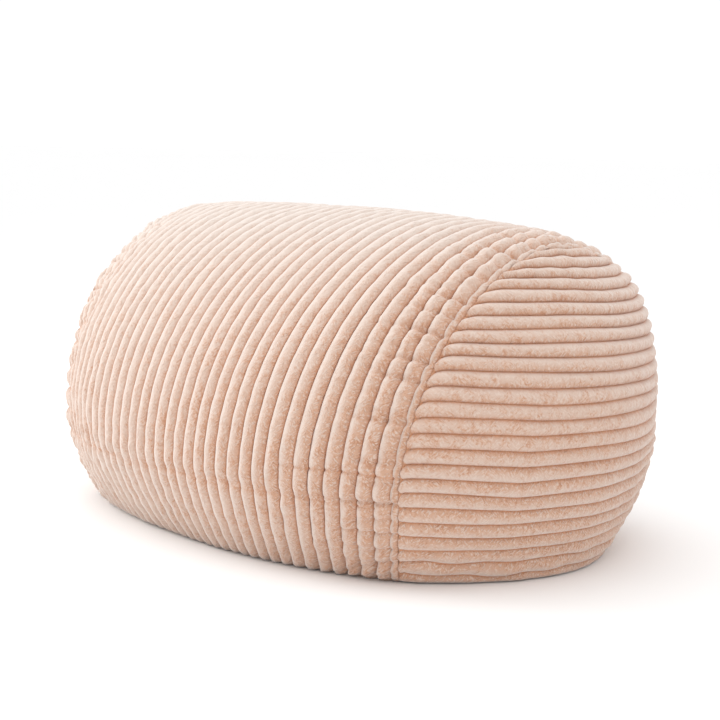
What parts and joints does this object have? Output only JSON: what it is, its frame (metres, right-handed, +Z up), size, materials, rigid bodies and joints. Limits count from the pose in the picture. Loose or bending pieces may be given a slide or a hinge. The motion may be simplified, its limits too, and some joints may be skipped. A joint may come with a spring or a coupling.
{
  "type": "long floor pouf",
  "caption": "Long rounded floor pouf in wide-wale plush: a filled drum with domed ends and a flat base, to sit on or to rest feet on.",
  "frame": {"origin": "centre of the base, on the floor", "axes": "+X along the length towards the right end panel, -Y towards the front, +Z up"},
  "size_m": [0.9186, 0.6388, 0.434],
  "materials": {
    "plush": "pale peach-beige wide-wale plush with a short, soft, slightly mottled pile"
  },
  "bodies": {
    "root": {"body_panel": "plush", "end_panel_right": "plush", "end_panel_left": "plush"}
  },
  "joints": []
}
